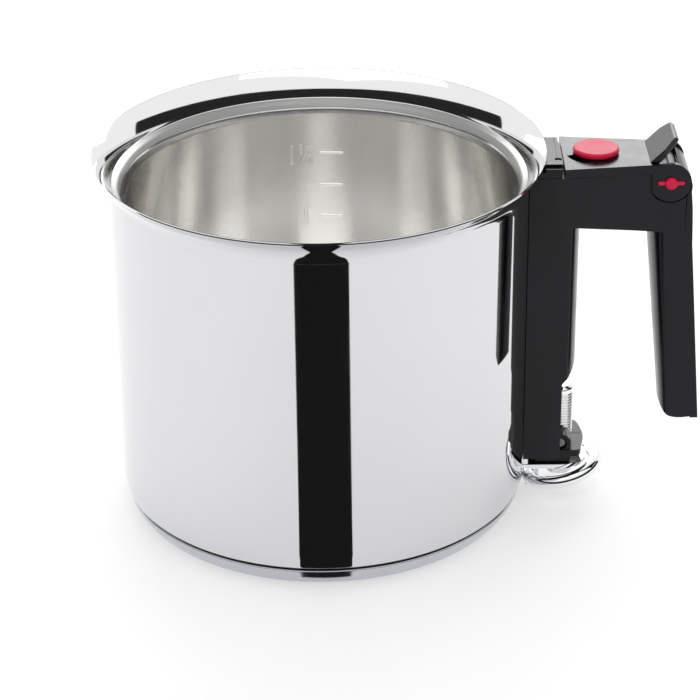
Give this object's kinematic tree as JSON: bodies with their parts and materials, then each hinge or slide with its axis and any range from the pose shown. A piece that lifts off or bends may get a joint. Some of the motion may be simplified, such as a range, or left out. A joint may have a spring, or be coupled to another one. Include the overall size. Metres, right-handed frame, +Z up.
{
  "type": "double-walled melting pot",
  "caption": "Round double-walled metal pot with a flared pouring rim, a black side handle with a filling flap and whistle, and a hanging ring.",
  "frame": {"origin": "centre of the underside of the base, on the pot's axis, where the pot stands on a surface", "axes": "+Z up along the pot's axis, +X from the pot's axis towards the handle, +Y by the right-hand rule"},
  "size_m": [0.2339, 0.172, 0.154],
  "materials": {
    "polished_steel": "mirror polished",
    "brushed_inner": "fine satin, brushed round",
    "base_steel": "satin, spun",
    "core_aluminium": "plain",
    "bracket_steel": "bright",
    "screw_steel": "bright",
    "ring_chrome": "polished",
    "black_handle": "semi-gloss moulded, fine texture",
    "black_flap": "satin moulded",
    "red_plastic": "semi-gloss moulded",
    "seal_rubber": "matte silicone",
    "seat_brass": "bright turned"
  },
  "bodies": {
    "pot": {"inner_shell": "brushed_inner", "outer_shell": "polished_steel", "shell_floor": "polished_steel", "base_core": "core_aluminium", "base_cap": "base_steel", "fill_port": "brushed_inner", "port_seal": "seal_rubber", "handle_body": "black_handle", "grip_cover": "black_handle", "grip_screw_upper": "screw_steel", "grip_screw_lower": "screw_steel", "neck_cover": "black_handle", "neck_screw": "screw_steel", "upper_bracket": "bracket_steel", "lower_bracket": "bracket_steel", "clamp_stud": "bracket_steel", "clamp_nut": "bracket_steel", "clamp_washer": "bracket_steel", "clamp_block": "black_handle", "block_pin": "bracket_steel", "ring_hook": "bracket_steel", "flap_spring": "bracket_steel", "valve_seat": "seat_brass", "seat_seal": "seal_rubber"},
    "flap": {"flap": "black_flap", "hinge_pin": "red_plastic", "pin_clip": "bracket_steel"},
    "whistle": {"whistle_cap": "red_plastic", "whistle_body": "black_flap", "whistle_reed": "seat_brass"},
    "ring": {"hanging_ring": "ring_chrome"}
  },
  "joints": [
    {"name": "flap_hinge", "type": "hinge", "parent": "pot", "child": "flap", "pos_m": [0.1324, 0, 0.1377], "axis": [0, 1, 0], "range_deg": [0, 50], "stiffness_Nm_per_rad": 0.03, "springref_deg": -34.38},
    {"name": "whistle_turn", "type": "hinge", "parent": "flap", "child": "whistle", "pos_m": [0.1049, 0, 0.145], "axis": [0, 0, 1], "range_deg": [0, 90]},
    {"name": "ring_hinge", "type": "hinge", "parent": "pot", "child": "ring", "pos_m": [0.08182, 0, 0.00561], "axis": [0, 1, 0], "range_deg": [0, 100]}
  ]
}
